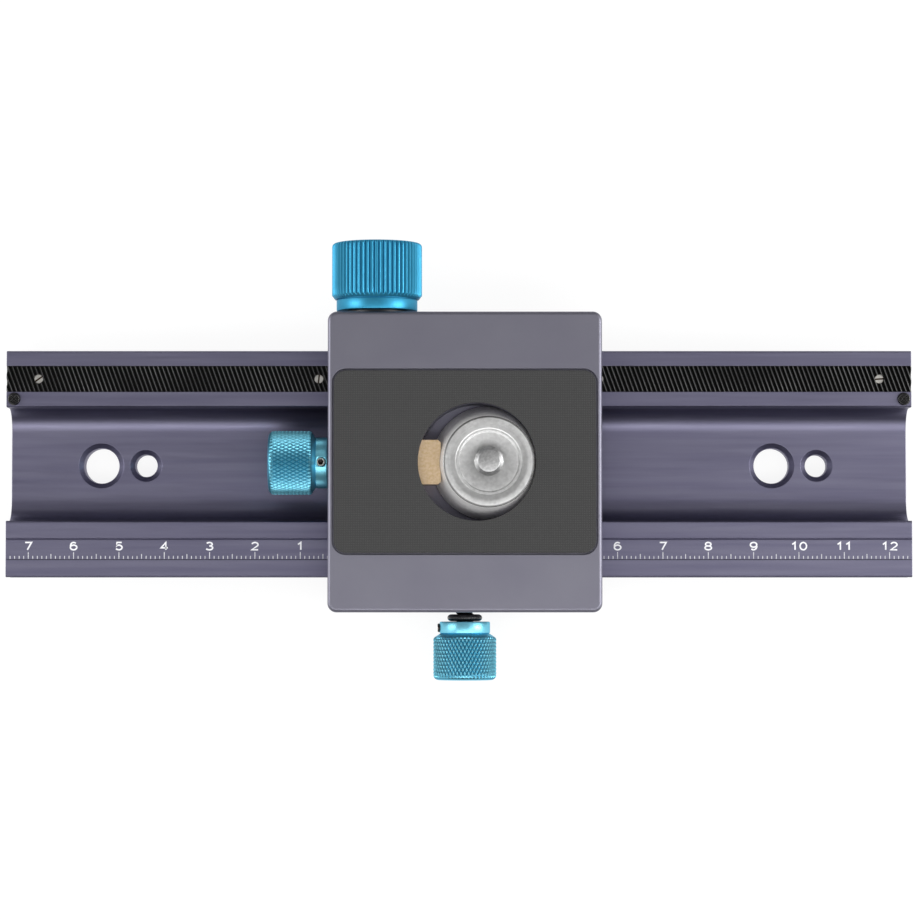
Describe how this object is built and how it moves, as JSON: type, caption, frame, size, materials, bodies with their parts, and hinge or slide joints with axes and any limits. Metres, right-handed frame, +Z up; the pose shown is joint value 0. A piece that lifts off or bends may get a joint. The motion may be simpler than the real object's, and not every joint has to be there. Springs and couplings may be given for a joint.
{
  "type": "macro focusing rail",
  "caption": "Channel rail with a helical rack and scale, and a geared carriage with knobs, a rubber pad and a clamped camera button.",
  "frame": {"origin": "middle of the rail's underside", "axes": "+X along the rail, +Y towards the focus knob, +Z up to the camera"},
  "size_m": [0.2, 0.0962, 0.0329],
  "materials": {
    "rail_anodised": "satin anodised, drawn lines along X",
    "carriage_anodised": "fine bead-blasted, anodised",
    "knob_blue": "bright anodised, turned",
    "black_steel": "blackened, oiled",
    "bright_steel": "turned",
    "brass": "milled, slightly dull",
    "bronze": "sintered, oiled",
    "rubber": "fine ribbed",
    "nylon": "black",
    "stainless": "turned and polished"
  },
  "bodies": {
    "rail": {"rail": "rail_anodised", "rack": "black_steel", "rack_screws": "bright_steel", "end_stop_screws": "black_steel"},
    "carriage": {"carriage_body": "carriage_anodised", "grip_pad": "rubber", "inner_shaft_bush": "bronze", "outer_shaft_bush": "bronze", "gib_adjusting_screws": "black_steel"},
    "focus_drive": {"pinion_shaft": "bright_steel", "focus_knob": "knob_blue", "focus_knob_set_screw": "bright_steel", "shaft_thrust_washer": "nylon"},
    "lock_gib": {"lock_gib": "brass"},
    "lock_knob": {"lock_screw": "black_steel", "lock_o_ring": "rubber", "lock_knob": "knob_blue", "lock_knob_set_screw": "bright_steel"},
    "clamp_shoe": {"clamp_shoe": "brass"},
    "clamp_knob": {"clamp_screw": "black_steel", "clamp_knob": "knob_blue", "clamp_knob_set_screw": "bright_steel"},
    "camera_button": {"camera_button": "stainless"},
    "camera_screw": {"camera_screw": "stainless"}
  },
  "joints": [
    {"name": "carriage_slide", "type": "slide", "parent": "rail", "child": "carriage", "axis": [1, 0, 0], "range_m": [-0.0683, 0.0657]},
    {"name": "focus_turn", "type": "hinge", "parent": "carriage", "child": "focus_drive", "pos_m": [-0.01805, 0, 0.01891], "axis": [0, 1, 0], "range_deg": [-1226.77, 1180.11]},
    {"name": "lock_slide", "type": "slide", "parent": "carriage", "child": "lock_gib", "axis": [0, 1, 0], "range_m": [0, 0.00035]},
    {"name": "lock_turn", "type": "hinge", "parent": "lock_gib", "child": "lock_knob", "pos_m": [0.0013, -0.03315, 0.011], "axis": [0, 1, 0], "range_deg": [0, 181]},
    {"name": "clamp_slide", "type": "slide", "parent": "carriage", "child": "clamp_shoe", "axis": [1, 0, 0], "range_m": [-0.005, 0]},
    {"name": "clamp_turn", "type": "hinge", "parent": "clamp_shoe", "child": "clamp_knob", "pos_m": [-0.02855, 0, 0.02105], "axis": [1, 0, 0], "range_deg": [-2251, 0]},
    {"name": "button_turn", "type": "hinge", "parent": "carriage", "child": "camera_button", "pos_m": [0.0065, 0, 0.018], "axis": [0, 0, 1], "continuous": true},
    {"name": "camera_screw_turn", "type": "hinge", "parent": "camera_button", "child": "camera_screw", "pos_m": [0.0065, 0, 0.018], "axis": [0, 0, 1], "continuous": true}
  ],
  "couplings": [
    {"joint": "focus_turn", "follows": "carriage_slide", "rad_per_m": 313.23},
    {"joint": "lock_turn", "follows": "lock_slide", "rad_per_m": 8976},
    {"joint": "clamp_turn", "follows": "clamp_slide", "rad_per_m": 7854}
  ]
}
